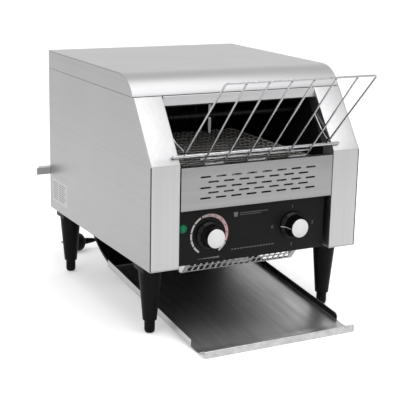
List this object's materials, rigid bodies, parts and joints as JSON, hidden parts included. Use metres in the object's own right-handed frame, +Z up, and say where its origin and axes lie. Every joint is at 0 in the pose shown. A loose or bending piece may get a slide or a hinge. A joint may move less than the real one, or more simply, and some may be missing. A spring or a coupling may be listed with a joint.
{
  "type": "conveyor toaster",
  "caption": "Countertop conveyor toaster with a wire feed rack, wire belt between heaters, and a sloping toast tray under the cabinet.",
  "frame": {"origin": "on the table, under the middle of the machine's box measured without the free cord", "axes": "+X to the machine's right seen from its front, +Y from the front to the back, +Z up"},
  "size_m": [0.418, 0.6734, 0.4105],
  "materials": {
    "stainless_body": "brushed stainless sheet",
    "black_panel": "satin black enamel",
    "chamber_steel": "heat-dulled stainless",
    "quartz": "frosted quartz",
    "belt_steel": "bright wire, heat-tinted",
    "dark_steel": "dark coated steel",
    "black_plastic": "satin moulded",
    "knob_plastic": "glossy moulded",
    "spun_aluminium": "spun",
    "green_lens": "translucent",
    "chromed_wire": "polished",
    "cord_rubber": "satin"
  },
  "bodies": {
    "cabinet": {"left_side_panel": "stainless_body", "right_side_panel": "stainless_body", "top_cover": "stainless_body", "left_front_pillar": "stainless_body", "right_front_pillar": "stainless_body", "header_strip": "stainless_body", "vent_panel": "stainless_body", "base_frame": "stainless_body", "rear_panel": "stainless_body", "rear_spacer": "stainless_body", "lower_guard": "stainless_body", "control_panel": "black_panel", "left_chamber_wall": "chamber_steel", "right_chamber_wall": "chamber_steel", "upper_reflector": "chamber_steel", "control_bay_shell": "chamber_steel", "heater_hanger": "chamber_steel", "upper_heater_front": "quartz", "upper_heater_rear": "quartz", "lower_heater_front": "quartz", "lower_heater_rear": "quartz", "conveyor_belt": "belt_steel", "drive_chain": "dark_steel", "gear_motor": "dark_steel", "toast_chute": "dark_steel", "fan_housing": "black_plastic", "mode_switch": "black_plastic", "speed_regulator": "black_plastic", "front_left_leg": "black_plastic", "front_right_leg": "black_plastic", "rear_left_leg": "black_plastic", "rear_right_leg": "black_plastic", "signal_lamp": "green_lens", "cord_gland": "cord_rubber", "power_cord": "cord_rubber", "cord_coil": "cord_rubber", "plug_lead": "cord_rubber", "power_plug": "cord_rubber"},
    "feed_rack": {"rack_frame": "chromed_wire", "rack_rod": "chromed_wire", "rack_cross_rod": "chromed_wire", "rack_loop_left": "chromed_wire", "rack_loop_centre": "chromed_wire", "rack_loop_right": "chromed_wire"},
    "toast_tray": {"toast_tray": "stainless_body"},
    "speed_knob": {"speed_knob": "knob_plastic", "speed_knob_cap": "spun_aluminium"},
    "mode_knob": {"mode_knob": "knob_plastic", "mode_knob_cap": "spun_aluminium"},
    "drive_shaft": {"drive_shaft": "chamber_steel", "drive_sprocket_left": "dark_steel", "drive_sprocket_right": "dark_steel", "driven_chain_wheel": "dark_steel"},
    "idler_shaft": {"idler_shaft": "chamber_steel"},
    "motor_chain_wheel": {"motor_chain_wheel": "dark_steel"},
    "fan_rotor": {"fan_rotor": "black_plastic"},
    "front_left_foot": {"front_left_foot": "black_plastic"},
    "front_right_foot": {"front_right_foot": "black_plastic"},
    "rear_left_foot": {"rear_left_foot": "black_plastic"},
    "rear_right_foot": {"rear_right_foot": "black_plastic"}
  },
  "joints": [
    {"name": "feed_rack_lift", "type": "slide", "parent": "cabinet", "child": "feed_rack", "axis": [0, 0, 1], "range_m": [0, 0.15]},
    {"name": "toast_tray_pull", "type": "slide", "parent": "cabinet", "child": "toast_tray", "axis": [0, -1, 0], "range_m": [0, 0.3]},
    {"name": "speed_knob_turn", "type": "hinge", "parent": "cabinet", "child": "speed_knob", "pos_m": [-0.08, -0.15265, 0.1585], "axis": [0, 1, 0], "range_deg": [-280, 0]},
    {"name": "mode_knob_turn", "type": "hinge", "parent": "cabinet", "child": "mode_knob", "pos_m": [0.0695, -0.15265, 0.158], "axis": [0, 1, 0], "range_deg": [0, 270]},
    {"name": "drive_shaft_spin", "type": "hinge", "parent": "cabinet", "child": "drive_shaft", "pos_m": [0, 0.12635, 0.239], "axis": [-1, 0, 0], "continuous": true},
    {"name": "idler_shaft_spin", "type": "hinge", "parent": "cabinet", "child": "idler_shaft", "pos_m": [0, -0.12165, 0.239], "axis": [-1, 0, 0], "continuous": true},
    {"name": "motor_wheel_spin", "type": "hinge", "parent": "cabinet", "child": "motor_chain_wheel", "pos_m": [0.172, 0.07135, 0.16], "axis": [-1, 0, 0], "continuous": true},
    {"name": "fan_spin", "type": "hinge", "parent": "cabinet", "child": "fan_rotor", "pos_m": [0, -0.05365, 0.13], "axis": [0, 0, 1], "continuous": true},
    {"name": "front_left_foot_level", "type": "slide", "parent": "cabinet", "child": "front_left_foot", "axis": [0, 0, -1], "range_m": [0, 0.015]},
    {"name": "front_right_foot_level", "type": "slide", "parent": "cabinet", "child": "front_right_foot", "axis": [0, 0, -1], "range_m": [0, 0.015]},
    {"name": "rear_left_foot_level", "type": "slide", "parent": "cabinet", "child": "rear_left_foot", "axis": [0, 0, -1], "range_m": [0, 0.015]},
    {"name": "rear_right_foot_level", "type": "slide", "parent": "cabinet", "child": "rear_right_foot", "axis": [0, 0, -1], "range_m": [0, 0.015]}
  ],
  "couplings": [
    {"joint": "idler_shaft_spin", "follows": "drive_shaft_spin", "ratio": 1},
    {"joint": "motor_wheel_spin", "follows": "drive_shaft_spin", "ratio": 2}
  ]
}
